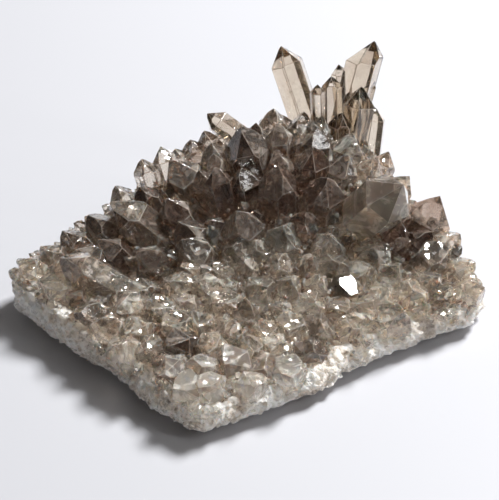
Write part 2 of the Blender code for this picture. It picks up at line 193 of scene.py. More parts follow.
# Unit directions away from the fan point. A lean past the largest is cut back to it, and the
# direction is the sine of the lean sideways and its cosine upwards.
def fanDirection(places):
    way = places - fanPoint
    flat = np.hypot(way[..., 0], way[..., 1])
    lean = np.minimum(np.arctan2(flat, way[..., 2]), mostLean)
    side = way[..., :2] / np.maximum(flat, 1e-6)[..., None]
    return np.concatenate([side * np.sin(lean)[..., None], np.cos(lean)[..., None]], -1)


# How much the sides differ and the end faces step back, as shares of the half width
unevenness = {
    "side": 0.1, "smallStep": 0.14, "largeStep": (0.16, 0.42),
    "scatteredSide": 0.12, "scatteredLargeStep": (0.16, 0.5),
}


# A crystal as one row: foot 0:3, direction 3:6, half width 6, above 7, below 8, turn 9,
# six side shares 10:16, six tip steps 16:22. Every second end face steps back, so three are large,
# and the ones away from the lead direction step back by one less the cosine.
def crystalRow(foot, direction, size, turn, rng, tip=plainTip):
    width, above, below = size
    uneven, lead, strength = tip
    turn = math.radians(turn)
    sides = 1.0 + unevenness["side"] * uneven * rng.uniform(-1.0, 1.0, 6)
    major = int(rng.integers(0, 2))
    steps = rng.uniform(0.0, unevenness["smallStep"], 6)
    steps[major::2] += rng.uniform(*unevenness["largeStep"], 3)
    around = turn + sixths - math.radians(lead)
    steps = uneven * steps + strength * (1.0 - np.cos(around))
    single = [0.5 * width, above, below, turn]
    return np.concatenate([foot, direction, single, sides, steps - steps.min()])


# The row of a listed crystal: its foot on the top, its direction from the tangents of its leans
def seatedRow(row, rng):
    x, y, right, back, width, above, below, turn = row[:8]
    way = np.array([math.tan(math.radians(right)), math.tan(math.radians(back)), 1.0])
    tip = row[8:11] if len(row) > 8 else plainTip
    return crystalRow(onTop(x, y), way / np.linalg.norm(way), (width, above, below), turn, rng, tip)


# True where a place is closer to a large crystal's axis than its half width and a gap
def nearLarge(place, rows):
    way = place - rows[:, 0:3]
    along = np.clip((way * rows[:, 3:6]).sum(1), -rows[:, 8], rows[:, 7])
    apart = np.linalg.norm(way - along[:, None] * rows[:, 3:6], axis=1)
    return bool((apart < rows[:, 6] + gridCrust["keepOffLarge"]).any())


# True where a place is closer to a listed crystal's foot than its half width and a gap
def nearListed(x, y):
    gap = gridCrust["keepOff"]
    return any(math.hypot(x - row[0], y - row[1]) < 0.5 * row[4] + gap for row in crustCrystals)


# Rows of the grid's crystals: each leans as the fan does with some wander, and its width and its
# height share one random size. Cells outside the rim or on another crystal are left out.
def gridRows(large):
    form = gridCrust
    jitter = form["jitter"]
    rng = np.random.default_rng(form["seed"])
    rows = []
    step = form["rowPitch"] * form["cell"]
    for row in range(int(form["span"][1] / step)):
        for column in range(int(form["span"][0] / form["cell"])):
            shift = 0.5 * form["cell"] if row % 2 else 0.0
            x = form["corner"][0] + column * form["cell"] + shift + rng.uniform(-jitter, jitter)
            y = form["corner"][1] + row * step + rng.uniform(-jitter, jitter)
            size = rng.uniform(*form["sizes"])
            wander = rng.normal(0.0, form["wander"], 2)
            turn = rng.uniform(0.0, 60.0)
            own = np.random.default_rng(int(rng.integers(0, 1 << 30)))
            place = onTop(x, y)
            outside = insideMargin(x, y) < form["edgeMargin"]
            if outside or nearListed(x, y) or nearLarge(place, large):
                continue
            way = fanDirection(place) + np.array([wander[0], wander[1], 0.0])
            lengths = (form["width"] * size, form["height"] * size, form["root"])
            rows.append(crystalRow(place, way / np.linalg.norm(way), lengths, turn, own))
    return rows


seatRng = np.random.default_rng(gridCrust["seed"])
largeRows = {name: np.array([seatedRow(row, seatRng) for row in listed])
             for name, listed in largeCrystals.items()}
everyLarge = np.concatenate(list(largeRows.values()))
crustRows = np.array([seatedRow(row, seatRng) for row in crustCrystals] + gridRows(everyLarge))
print("stage: crystal places", len(everyLarge), "large,", len(crustRows), "in the crust")


# Rows of crystals laid over scattered places: the fan's direction and half as much wander upwards
# as sideways, with uneven sides and three of the six end faces stepped back
def scatteredRows(places, widths, heights, roots, wander, rng):
    count = len(places)
    way = fanDirection(places) + rng.normal(0.0, wander, (count, 3)) * np.array([1.0, 1.0, 0.5])
    way = way / np.linalg.norm(way, axis=1)[:, None]
    sides = 1.0 + unevenness["scatteredSide"] * rng.uniform(-1.0, 1.0, (count, 6))
    steps = rng.uniform(0.0, unevenness["smallStep"], (count, 6))
    major = rng.integers(0, 2, count)
    every = (np.arange(6)[None, :] % 2) == major[:, None]
    steps = steps + every * rng.uniform(*unevenness["scatteredLargeStep"], (count, 6))
    steps = steps - steps.min(1)[:, None]
    turns = rng.uniform(0.0, math.pi / 3.0, count)
    single = np.stack([0.5 * widths, heights, roots, turns], 1)
    return np.concatenate([places, way, single, sides, steps], 1)


# Corners and faces of many convex crystals at once. Every three planes of a crystal meet in one
# point, and the point is a corner of it if no other of its planes cuts the point off. A face is
# the ring of corners on one plane, in the order of their angle about the face's middle. The faces
# come out crystal by crystal.
def crystalSolids(rows, pointedBelow=False):
    count = len(rows)
    around = rows[:, 9, None] + sixths
    ring = np.stack([np.cos(around), np.sin(around), np.zeros_like(around)], -1)
    up = np.array([0.0, 0.0, 1.0])
    tips = rows[:, 16:22] * rows[:, 6, None]
    endFaces = ring * math.sin(endFaceTilt) + up * math.cos(endFaceTilt)
    normals = [ring, endFaces]
    reach = [rows[:, 6, None] * rows[:, 10:16], math.cos(endFaceTilt) * (rows[:, 7, None] + tips)]
    if pointedBelow:
        normals.append(ring * math.sin(endFaceTilt) - up * math.cos(endFaceTilt))
        reach.append(math.cos(endFaceTilt) * (rows[:, 8, None] + np.roll(tips, 3, 1)))
    else:
        normals.append(np.broadcast_to(-up, (count, 1, 3)))
        reach.append(rows[:, 8, None])
    normals = np.concatenate(normals, 1)
    reach = np.concatenate(reach, 1)

    triples = np.array(list(combinations(range(normals.shape[1]), 3)))
    first, second, third = (normals[:, triples[:, k]] for k in range(3))
    crossed = np.cross(second, third)
    volume = (first * crossed).sum(-1)
    parallel = np.abs(volume) < 1e-6
    volume = np.where(parallel, 1.0, volume)[..., None]
    points = reach[:, triples[:, 0], None] * crossed
    points = points + reach[:, triples[:, 1], None] * np.cross(third, first)
    points = (points + reach[:, triples[:, 2], None] * np.cross(first, second)) / volume
    outside = (np.einsum("ntk,npk->ntp", points, normals) - reach[:, None, :]).max(-1)
    corner = ~parallel & (outside < 1e-7)

    loops, sizes = [], []
    for plane in range(normals.shape[1]):
        mine = np.flatnonzero((triples == plane).any(1))
        isCorner = corner[:, mine]
        total = isCorner.sum(1)
        normal = normals[:, plane]
        sideways = np.cross(normal, np.array([0.37, 0.61, 0.70]))   # any way but a plane's own
        sideways = sideways / np.linalg.norm(sideways, axis=1)[:, None]
        upwards = np.cross(normal, sideways)
        middle = (points[:, mine] * isCorner[..., None]).sum(1) / np.maximum(total, 1)[:, None]
        away = points[:, mine] - middle[:, None]
        angle = np.arctan2((away * upwards[:, None]).sum(-1), (away * sideways[:, None]).sum(-1))
        order = np.argsort(np.where(isCorner, angle, np.inf), 1)
        ids = mine[order] + np.arange(count)[:, None] * len(triples)
        use = total >= 3
        inRing = np.arange(len(mine))[None, :] < total[:, None]
        loops.append(ids[use][inRing[use]])
        sizes.append(total[use])
    kept, loops = np.unique(np.concatenate(loops), return_inverse=True)
    sizes = np.concatenate(sizes)
    owner = kept // len(triples)
    starts = np.cumsum(sizes) - sizes
    order = np.argsort(owner[loops[starts]], kind="stable")
    starts, sizes = starts[order], sizes[order]
    within = np.arange(sizes.sum()) - np.repeat(np.cumsum(sizes) - sizes, sizes)
    return points.reshape(-1, 3)[kept], owner, loops[np.repeat(starts, sizes) + within], sizes


# Axes of each crystal: its Z is its direction, its Y the upward way less the part of it along Z,
# and its X is square to both
def crystalAxes(rows):
    axis = rows[:, 3:6]
    upward = np.array([0.0, 0.0, 1.0]) - axis[:, 2:3] * axis
    upward = upward / np.linalg.norm(upward, axis=1)[:, None]
    return np.cross(upward, axis), upward, axis


# A mesh from its corners, its faces' corner numbers one after another and the faces' sizes
def meshFromArrays(name, places, loops, sizes):
    mesh = bpy.data.meshes.new(name)
    mesh.vertices.add(len(places))
    mesh.vertices.foreach_set("co", ((places - planOrigin) * mm).astype(np.float32).ravel())
    mesh.loops.add(len(loops))
    mesh.loops.foreach_set("vertex_index", loops.astype(np.int32))
    mesh.polygons.add(len(sizes))
    starts = np.concatenate([[0], np.cumsum(sizes)[:-1]])
    mesh.polygons.foreach_set("loop_start", starts.astype(np.int32))
    mesh.update(calc_edges=True)
    mesh.validate()
    mesh.shade_flat()
    return mesh


# A finished piece on the one body, with its materials and each face's material number
def addPiece(name, mesh, finishes, replaced=(), faceFinish=None):
    piece = bpy.data.objects.new(name, mesh)
    bpy.context.scene.collection.objects.link(piece)
    mesh.materials.clear()
    for material in finishes:
        mesh.materials.append(material)
    if faceFinish is not None:
        mesh.polygons.foreach_set("material_index", faceFinish.astype(np.int32))
    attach(piece, "root")
    for node in replaced:
        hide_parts(node)


# Every crystal as a mesh of its own, with its number on its faces. A corner's place is the foot
# plus its local place along the crystal's own axes.
def separateCrystals(rows, pointedBelow=False):
    local, owner, loops, sizes = crystalSolids(rows, pointedBelow)
    across, upward, axis = crystalAxes(rows)
    places = rows[owner, 0:3] + local[:, 0:1] * across[owner] + local[:, 1:2] * upward[owner]
    places = places + local[:, 2:3] * axis[owner]
    starts = np.cumsum(sizes) - sizes
    faceOwner = owner[loops[starts]]
    cornerEdge = np.searchsorted(owner, np.arange(len(rows) + 1))
    faceEdge = np.searchsorted(faceOwner, np.arange(len(rows) + 1))
    loopEdge = np.append(starts, len(loops))[faceEdge]
    meshes = []
    for k in range(len(rows)):
        own = loops[loopEdge[k]:loopEdge[k + 1]] - cornerEdge[k]
        mesh = meshFromArrays("crystal", places[cornerEdge[k]:cornerEdge[k + 1]], own,
                              sizes[faceEdge[k]:faceEdge[k + 1]])
        number = mesh.attributes.new("crystal", "INT", "FACE")
        number.data.foreach_set("value", np.full(len(mesh.polygons), k, np.int32))
        meshes.append(mesh)
    return meshes


edgeTurn = math.radians(20)   # the smallest turn between two faces that makes an edge to break


# Edges of the wider crystals are first broken by a narrow flat. Grown together, neighbours are
# joined two by two, then the pairs two by two, until one closed skin is left. Otherwise the
# crystals stand in each other with their own skins.
def grownTogether(name, meshes, flats, oneSkin):
    yard = bpy.data.scenes.new("joining")
    layer = yard.view_layers[0]
    pieces = []
    for mesh, flat in zip(meshes, flats):
        piece = bpy.data.objects.new("crystal", mesh)
        yard.collection.objects.link(piece)
        if flat > 0.0:
            bevel = piece.modifiers.new("flat", "BEVEL")
            bevel.width = flat * mm
            bevel.segments = 1
            bevel.limit_method = "ANGLE"
            bevel.angle_limit = edgeTurn
        pieces.append(piece)
    while oneSkin and len(pieces) > 1:
        for piece, other in zip(pieces[0::2], pieces[1::2]):
            join = piece.modifiers.new("join", "BOOLEAN")
            join.operation = "UNION"
            join.solver = "MANIFOLD"
            join.object = other
        layer.update()
        settled = layer.depsgraph
        joined = [bpy.data.meshes.new_from_object(piece.evaluated_get(settled))
                  for piece in pieces[0::2]]
        for piece in pieces[1::2]:
            bpy.data.objects.remove(piece)
        pieces = pieces[0::2]
        for piece, mesh in zip(pieces, joined):
            piece.modifiers.clear()
            piece.data = mesh
    layer.update()
    if oneSkin:
        result = bpy.data.meshes.new_from_object(pieces[0].evaluated_get(layer.depsgraph))
        result.name = name
    else:
        together = bmesh.new()
        for piece in pieces:
            together.from_mesh(piece.evaluated_get(layer.depsgraph).data)
        result = bpy.data.meshes.new(name)
        together.to_mesh(result)
        together.free()
    for piece in pieces:
        bpy.data.objects.remove(piece)
    bpy.data.scenes.remove(yard)
    return result


# How far a face's rise along the axis may be from a prism side's, an end face's and the foot's,
# the cosine that its turn from a side has to keep, and the paler tint of a worn edge
wornRules = {
    "squareRise": 0.15, "endRise": 0.09, "footRise": 0.97, "sideTurn": 0.6,
    "tintShare": 0.85, "tintDrop": 0.05,
}


# The narrow flats on broken edges are the faces whose outward way, seen in the crystal's own axes,
# is neither square to the axis nor an end face's angle off it, or lies between two sides. The flat
# below the foot is none of them.
def wornFaces(mesh, rows, faceOwner):
    ways = np.zeros(3 * len(mesh.polygons), np.float32)
    mesh.polygons.foreach_get("normal", ways)
    ways = ways.reshape(-1, 3)
    across, upward, axis = (way[faceOwner] for way in crystalAxes(rows))
    rise = np.abs((ways * axis).sum(1))
    around = np.arctan2((ways * upward).sum(1), (ways * across).sum(1)) - rows[faceOwner, 9]
    offEnd = np.abs(rise - math.cos(endFaceTilt))
    slanted = (rise > wornRules["squareRise"]) & (offEnd > wornRules["endRise"])
    between = np.cos(6.0 * around) < wornRules["sideTurn"]
    return (slanted | between) & (rise < wornRules["footRise"])


# Crystals are joined strip by strip across the plan, so that neighbours meet early
crystalLook = {"stripFrom": -70.0, "stripWidth": 12.0, "grainOffset": 40.0, "smokePower": 1.5}


# A joined mesh of crystals. Corner attributes: grain is the place in the crystal's own axes in
# centimetres with an offset of its own. Smoke runs from the root's tint to the tip's by a power of
# the height along the axis, differs from face to face and is paler on worn edges.
def crystalMesh(name, rows, rootSmoke, tipSmoke, rng, flats, faceSpread, pointedBelow=False,
                oneSkin=False):
    meshes = separateCrystals(rows, pointedBelow)
    look = crystalLook
    strip = np.floor((rows[:, 0] - look["stripFrom"]) / look["stripWidth"])
    order = np.lexsort((rows[:, 1] * np.where(strip % 2 == 0, 1.0, -1.0), strip))
    flats = np.broadcast_to(flats, len(rows))
    mesh = grownTogether(name, [meshes[k] for k in order], flats[order], oneSkin)
    faceOwner = np.zeros(len(mesh.polygons), np.int32)
    mesh.attributes["crystal"].data.foreach_get("value", faceOwner)
    sizes = np.zeros(len(mesh.polygons), np.int32)
    mesh.polygons.foreach_get("loop_total", sizes)
    owner = np.repeat(faceOwner, sizes)
    corner = np.zeros(len(mesh.loops), np.int32)
    mesh.loops.foreach_get("vertex_index", corner)
    places = np.zeros(3 * len(mesh.vertices), np.float32)
    mesh.vertices.foreach_get("co", places)
    away = places.reshape(-1, 3)[corner] / mm + planOrigin - rows[owner, 0:3]
    across, upward, axis = crystalAxes(rows)
    local = np.stack([(away * way[owner]).sum(1) for way in (across, upward, axis)], 1)
    offset = rng.uniform(-look["grainOffset"], look["grainOffset"], (len(rows), 3))
    grain = mesh.attributes.new("grain", "FLOAT_VECTOR", "CORNER")
    grain.data.foreach_set("vector", ((local + offset[owner]) * 0.1).astype(np.float32).ravel())
    low = -rows[owner, 8]
    share = np.clip((local[:, 2] - low) / (rows[owner, 7] - low), 0.0, 1.0)
    share = share**look["smokePower"]
    value = rootSmoke[owner] + (tipSmoke[owner] - rootSmoke[owner]) * share
    value = value + np.repeat(rng.uniform(-1.0, 1.0, len(sizes)), sizes) * faceSpread
    smoke = mesh.attributes.new("smoke", "FLOAT", "CORNER")
    worn = wornFaces(mesh, rows, faceOwner)
    wornValue = wornRules["tintShare"] * value - wornRules["tintDrop"]
    value = np.where(np.repeat(worn, sizes), wornValue, value)
    smoke.data.foreach_set("value", value.astype(np.float32))
    mesh.shade_flat()
    return mesh, faceOwner, worn


# Finishes. The tint runs from pale to dark with the smoke attribute, absorption darkens with depth
# inside the crystal, veils are cloudy wisps that take away from the transmission, mosaic and
# glitter are the tilts of small facets in the surface and in the glaze over it.
quartzFinishes = {
    "clearQuartz": {
        "pale": (0.93, 0.87, 0.78), "dark": (0.42, 0.31, 0.23), "roughness": 0.02, "shine": 1.0,
        "transmission": 1.0, "veils": 0.15, "absorb": (0.78, 0.67, 0.52), "density": 85.0,
        "striae": 0.2, "mosaic": 0.03, "glitter": 0.1, "glaze": 0.5},
    "smokyQuartz": {
        "pale": (0.97, 0.88, 0.79), "dark": (0.28, 0.19, 0.15), "roughness": 0.02, "shine": 0.7,
        "transmission": 0.92, "veils": 0.35, "absorb": (0.72, 0.56, 0.44), "density": 45.0,
        "striae": 0.08, "mosaic": 0.04, "glitter": 0.06, "glaze": 0.6},
    "facetedQuartz": {
        "pale": (0.99, 0.89, 0.78), "dark": (0.36, 0.25, 0.19), "roughness": 0.02, "shine": 0.7,
        "transmission": 0.85, "veils": 0.4, "absorb": (0.82, 0.69, 0.56), "density": 15.0,
        "striae": 0.1, "mosaic": 0.02, "glitter": 0.05, "glaze": 0.6},
    "veiledQuartz": {
        "pale": (0.98, 0.89, 0.79), "dark": (0.42, 0.30, 0.235), "roughness": 0.02, "shine": 0.7,
        "transmission": 0.90, "veils": 0.42, "absorb": (0.82, 0.69, 0.56), "density": 20.0,
        "striae": 0.1, "mosaic": 0.02, "glitter": 0.05, "glaze": 0.6},
    "cloudyQuartz": {
        "pale": (0.99, 0.92, 0.83), "dark": (0.40, 0.29, 0.225), "roughness": 0.02, "shine": 0.8,
        "transmission": 0.95, "veils": 0.5, "absorb": (0.83, 0.72, 0.60), "density": 40.0,
        "striae": 0.12, "mosaic": 0.25, "glitter": 0.9, "glaze": 1.0},
    "milkyQuartz": {
        "pale": (0.99, 0.94, 0.87), "dark": (0.56, 0.45, 0.36), "roughness": 0.04, "shine": 1.0,
        "transmission": 0.87, "veils": 0.6, "absorb": (0.9, 0.84, 0.77), "density": 15.0,
        "striae": 0.2, "mosaic": 0.4, "glitter": 1.0, "glaze": 0.4},
    "wornQuartz": {
        "pale": (0.95, 0.87, 0.78), "dark": (0.40, 0.30, 0.24), "roughness": 0.08, "shine": 0.4,
        "transmission": 0.66, "veils": 0.2, "absorb": (0.9, 0.84, 0.77), "density": 15.0,
        "striae": 0.2, "mosaic": 0.3, "glitter": 1.2, "glaze": 0.8},
}

# What all the quartz finishes share. Grain scales are in cells or waves to the centimetre.
quartzGrain = {
    "cloud": {"Scale": 3.0, "Detail": 4.0, "Roughness": 0.6},
    "cloudTint": 0.6,
    "tintStops": (0.15, 1.0),
    "striaeSquash": (1.2, 1.2, 14.0),
    "striae": {"Scale": 1.0, "Detail": 3.0, "Roughness": 0.7},
    "striaeDepth": 0.0002,
    "mosaicCells": 9.0,
    "glazeCells": 12.0,
    "glazeRoughness": 0.06,
    "wisps": {"Scale": 2.2, "Detail": 6.0, "Roughness": 0.65, "Distortion": 1.5},
    "wispContrast": 5.0,
    "scatterRadius": (0.0005, 0.00045, 0.0004),
}


# A new material and its shader
def newMaterial(name):
    material = bpy.data.materials.new(name)
    material.use_nodes = True
    return material, material.node_tree.nodes["Principled BSDF"]


# A node with its number inputs set, an underscore standing for a space in a name
def addNode(nodes, kind, **inputs):
    node = nodes.new(kind)
    for key, value in inputs.items():
        node.inputs[key.replace("_", " ")].default_value = value
    return node


# The output of a noise texture read over a source
def noiseOf(nodes, links, source, settings):
    noise = addNode(nodes, "ShaderNodeTexNoise", **settings)
    links.new(source, noise.inputs["Vector"])
    return noise.outputs["Fac"]


# The mesh's smoke attribute as a number
def smokeOf(nodes):
    smoke = nodes.new("ShaderNodeAttribute")
    smoke.attribute_name = "smoke"
    return smoke.outputs["Fac"]


# One operation on up to three numbers or outputs
def mathNode(nodes, links, operation, first, second, third=None):
    node = nodes.new("ShaderNodeMath")
    node.operation = operation
    for slot, value in enumerate((first, second, third)):
        if value is None:
            continue
        if isinstance(value, (int, float)):
            node.inputs[slot].default_value = value
        else:
            links.new(value, node.inputs[slot])
    return node.outputs[0]


# One operation on two directions or colours, or on one and a scale
def vectorNode(nodes, links, operation, first, second=None, scale=None):
    node = nodes.new("ShaderNodeVectorMath")
    node.operation = operation
    for slot, value in enumerate((first, second)):
        if value is None:
            continue
        if isinstance(value, tuple):
            node.inputs[slot].default_value = value
        else:
            links.new(value, node.inputs[slot])
    if scale is not None:
        node.inputs["Scale"].default_value = scale
    return node.outputs[0]


# A colour between marked stops, by where the source lies between their positions
def colourRamp(nodes, links, source, stops):
    ramp = nodes.new("ShaderNodeValToRGB")
    marks = ramp.color_ramp.elements
    for position, colour in stops[1:-1]:
        marks.new(position)
    for mark, (position, colour) in zip(marks, stops):
        mark.position = position
        mark.color = (*colour, 1.0)
    links.new(source, ramp.inputs["Fac"])
    return ramp.outputs["Color"]


# Small facets: the surface direction plus a random tilt that is the same all over one cell
def glitterNormal(nodes, links, source, cells, tilt):
    cellsNode = addNode(nodes, "ShaderNodeTexVoronoi", Scale=cells)
    links.new(source, cellsNode.inputs["Vector"])
    away = vectorNode(nodes, links, "SUBTRACT", cellsNode.outputs["Color"], (0.5, 0.5, 0.5))
    away = vectorNode(nodes, links, "SCALE", away, scale=tilt)
    surface = nodes.new("ShaderNodeNewGeometry").outputs["Normal"]
    tilted = vectorNode(nodes, links, "ADD", surface, away)
    return vectorNode(nodes, links, "NORMALIZE", tilted)


# Quartz: fine lines square to the long axis, small growth facets, a tint by the smoke attribute
# with a cloudy wander, transmission less the wisps of the veils, and plain absorption inside
def quartzMaterial(name):
    finish = quartzFinishes[name]
    shared = quartzGrain
    material, shader = newMaterial(name)
    nodes, links = material.node_tree.nodes, material.node_tree.links
    attribute = nodes.new("ShaderNodeAttribute")
    attribute.attribute_name = "grain"
    grain = attribute.outputs["Vector"]
    smoke = smokeOf(nodes)
    cloud = noiseOf(nodes, links, grain, shared["cloud"])
    wander = shared["cloudTint"]
    tint = mathNode(nodes, links, "MULTIPLY_ADD", cloud, wander, -0.5 * wander)
    tint = mathNode(nodes, links, "ADD", tint, smoke)
    stops = list(zip(shared["tintStops"], (finish["pale"], finish["dark"])))
    links.new(colourRamp(nodes, links, tint, stops), shader.inputs["Base Color"])

    squash = nodes.new("ShaderNodeMapping")
    squash.inputs["Scale"].default_value = shared["striaeSquash"]
    links.new(grain, squash.inputs["Vector"])
    striae = noiseOf(nodes, links, squash.outputs["Vector"], shared["striae"])
    bump = addNode(nodes, "ShaderNodeBump", Strength=finish["striae"],
                   Distance=shared["striaeDepth"])
    links.new(striae, bump.inputs["Height"])
    mosaic = glitterNormal(nodes, links, grain, shared["mosaicCells"], finish["mosaic"])
    links.new(mosaic, bump.inputs["Normal"])
    links.new(bump.outputs["Normal"], shader.inputs["Normal"])
    facets = glitterNormal(nodes, links, grain, shared["glazeCells"], finish["glitter"])
    links.new(facets, shader.inputs["Coat Normal"])
    shader.inputs["Coat Weight"].default_value = finish["glaze"]
    shader.inputs["Coat Roughness"].default_value = shared["glazeRoughness"]
    shader.inputs["Coat IOR"].default_value = quartzIor

    shader.inputs["Roughness"].default_value = finish["roughness"]
    shader.inputs["IOR"].default_value = quartzIor
    shader.inputs["Specular Tint"].default_value = (*[finish["shine"]] * 3, 1.0)
    wisps = noiseOf(nodes, links, grain, shared["wisps"])
    contrast = shared["wispContrast"]
    thick = mathNode(nodes, links, "MULTIPLY_ADD", wisps, contrast, -0.5 * contrast)
    thick = mathNode(nodes, links, "MINIMUM", mathNode(nodes, links, "MAXIMUM", thick, 0.0), 1.0)
    clear = mathNode(nodes, links, "MULTIPLY_ADD", thick, -finish["veils"], finish["transmission"])
    links.new(clear, shader.inputs["Transmission Weight"])
    shader.inputs["Subsurface Weight"].default_value = 1.0
    shader.inputs["Subsurface Radius"].default_value = shared["scatterRadius"]
    shader.inputs["Subsurface Scale"].default_value = 1.0
    absorb = nodes.new("ShaderNodeVolumeAbsorption")
    absorb.inputs["Color"].default_value = (*finish["absorb"], 1.0)
    absorb.inputs["Density"].default_value = finish["density"]
    links.new(absorb.outputs["Volume"], nodes["Material Output"].inputs["Volume"])
    return material


# Massive quartz from darkest to lightest, with scales in waves or cells to the metre
massiveFinish = {
    "white": (0.98, 0.93, 0.87),
    "cream": (0.90, 0.81, 0.71),
    "grey": (0.42, 0.36, 0.31),
    "dark": (0.08, 0.06, 0.05),
    "smoky": (0.22, 0.16, 0.125),
    "stops": (0.27, 0.36, 0.46, 0.56),
    "patches": {"Scale": 90.0, "Detail": 7.0, "Roughness": 0.7},
    "specks": {"Scale": 800.0, "Detail": 3.0, "Roughness": 0.8},
    "speckShare": 0.45,
    "lumps": {"Scale": 380.0, "Detail": 3.0, "Roughness": 0.6},
    "lumpContrast": 2.6,
    "grains": 1100.0,
    "grainTilt": 1.2,
    "fine": {"Scale": 2600.0, "Detail": 4.0, "Roughness": 0.7},
    "fineStrength": 0.35,
    "fineDepth": 0.0003,
    "roughness": 0.25,
    "scatter": 0.6,
    "scatterRadius": (0.0050, 0.0044, 0.0038),
}


# Massive quartz: dark, grey, cream and white by a sum of two noises, a smoky tint in lumps where
# the smoke attribute is high, and small facets with a fine bump
def massiveMaterial():
    finish = massiveFinish
    material, shader = newMaterial("massiveQuartz")
    nodes, links = material.node_tree.nodes, material.node_tree.links
    place = nodes.new("ShaderNodeTexCoord").outputs["Object"]
    patches = noiseOf(nodes, links, place, finish["patches"])
    specks = noiseOf(nodes, links, place, finish["specks"])
    share = finish["speckShare"]
    mottle = mathNode(nodes, links, "MULTIPLY_ADD", specks, share, -0.5 * share)
    mottle = mathNode(nodes, links, "ADD", mottle, patches)
    colours = [finish[key] for key in ("dark", "grey", "cream", "white")]
    colour = colourRamp(nodes, links, mottle, list(zip(finish["stops"], colours)))
    smoke = smokeOf(nodes)
    contrast = finish["lumpContrast"]
    lumps = noiseOf(nodes, links, place, finish["lumps"])
    lump = mathNode(nodes, links, "MULTIPLY_ADD", lumps, contrast, -0.5 * contrast)
    shade = mathNode(nodes, links, "ADD", smoke, lump)
    shade = mathNode(nodes, links, "MAXIMUM", shade, 0.0)
    shade = mathNode(nodes, links, "MINIMUM", shade, smoke)
    blend = nodes.new("ShaderNodeMix")
    blend.data_type = "RGBA"
    mixShare, plain, tinted = blend.inputs[0], blend.inputs[6], blend.inputs[7]
    tinted.default_value = (*finish["smoky"], 1.0)
    links.new(shade, mixShare)
    links.new(colour, plain)
    links.new(blend.outputs[2], shader.inputs["Base Color"])
    facets = glitterNormal(nodes, links, place, finish["grains"], finish["grainTilt"])
    bump = addNode(nodes, "ShaderNodeBump", Strength=finish["fineStrength"],
                   Distance=finish["fineDepth"])
    links.new(noiseOf(nodes, links, place, finish["fine"]), bump.inputs["Height"])
    links.new(facets, bump.inputs["Normal"])
    links.new(bump.outputs["Normal"], shader.inputs["Normal"])
    shader.inputs["Roughness"].default_value = finish["roughness"]
    shader.inputs["IOR"].default_value = quartzIor
    shader.inputs["Subsurface Weight"].default_value = finish["scatter"]
    shader.inputs["Subsurface Radius"].default_value = finish["scatterRadius"]
    shader.inputs["Subsurface Scale"].default_value = 1.0
    return material


# Dark inclusions: plan x, y, reach, strength
darkSpots = [
    (-38, -17, 3.2, 0.6), (-25.5, -36, 1.6, 0.7), (-15, -29, 5.0, 0.45), (-6, -44, 1.6, 0.7),
    (15, -20.5, 3.4, 0.7), (13, -28.5, 2.6, 0.8), (41, -18, 2.0, 0.5), (35, 5, 5.0, 0.4),
]

# Smoky stretches: strength, plan x, y, reach to the sides, reach back and front
smokyStretches = {
    "ridge": (0.75, 4.0, 17.0, 23.0, 14.0),
    "left": (0.40, -28.0, 2.0, 16.0, 12.0),
    "pocket": (0.7, 38.0, 8.0, 6.0, 8.0),
}
smokeLevels = {"plain": 0.15, "frontPale": 0.40, "frontFrom": -10.0, "frontOver": 16.0,
               "frontBend": 0.35, "frontMiddle": -4.0, "right": 0.25, "rightFrom": 32.0,
               "rightOver": 10.0}


# How smoky a crystal's tip is by its place: a plain level, a bell over each smoky stretch and dark
# spot, more at the right, less towards the front, and never past 1
def smokeAt(places):
    x, y = places[:, 0], places[:, 1]
    levels = smokeLevels
    smoke = levels["plain"]
    for strength, middleX, middleY, reachX, reachY in smokyStretches.values():
        across, along = (x - middleX) / reachX, (y - middleY) / reachY
        smoke = smoke + strength * np.exp(-(across**2 + along**2))
    front = levels["frontFrom"] - y + levels["frontBend"] * np.abs(x - levels["frontMiddle"])
    right = (x - levels["rightFrom"]) / levels["rightOver"]
    smoke = smoke + levels["right"] * np.clip(right, 0.0, 1.0)
    smoke = smoke - levels["frontPale"] * np.clip(front / levels["frontOver"], 0.0, 1.0)
    smoke = np.clip(smoke, 0.0, 1.0)
    for spotX, spotY, reach, strength in darkSpots:
        smoke = smoke + strength * np.exp(-((x - spotX) ** 2 + (y - spotY) ** 2) / reach**2)
    return np.minimum(smoke, 1.0)


# Smooth noise between -1 and 1: random values on a cubic lattice, the eight round a place weighted
# by a smooth step along each axis
def latticeNoise(places, scale, seed):
    scaled = places / scale
    cell = np.floor(scaled).astype(np.int64)
    part = scaled - cell
    part = part * part * (3.0 - 2.0 * part)
    total = np.zeros(len(places))
    for corner in range(8):
        offset = np.array([corner & 1, (corner >> 1) & 1, (corner >> 2) & 1])
        weight = np.prod(np.where(offset == 1, part, 1.0 - part), axis=1)
        total = total + weight * cellRandom(cell + offset, seed)
    return total


wordMask = 0x7FFFFFFF   # keeps the last 31 bits


# Repeatable random number from -1 to 1 for each lattice cell: the cell's numbers times large odd
# ones are mixed bit by bit, twice shifted on themselves, and the last 31 bits give the number
def cellRandom(cell, seed):
    mixed = cell[..., 0] * 73856093 ^ cell[..., 1] * 19349663 ^ cell[..., 2] * 83492791
    mixed = mixed ^ seed * 2654435761
    mixed = (mixed ^ (mixed >> 13)) * 1274126177 & wordMask
    mixed = (mixed ^ (mixed >> 16)) * 668265263 & wordMask
    return mixed / float(wordMask) * 2.0 - 1.0


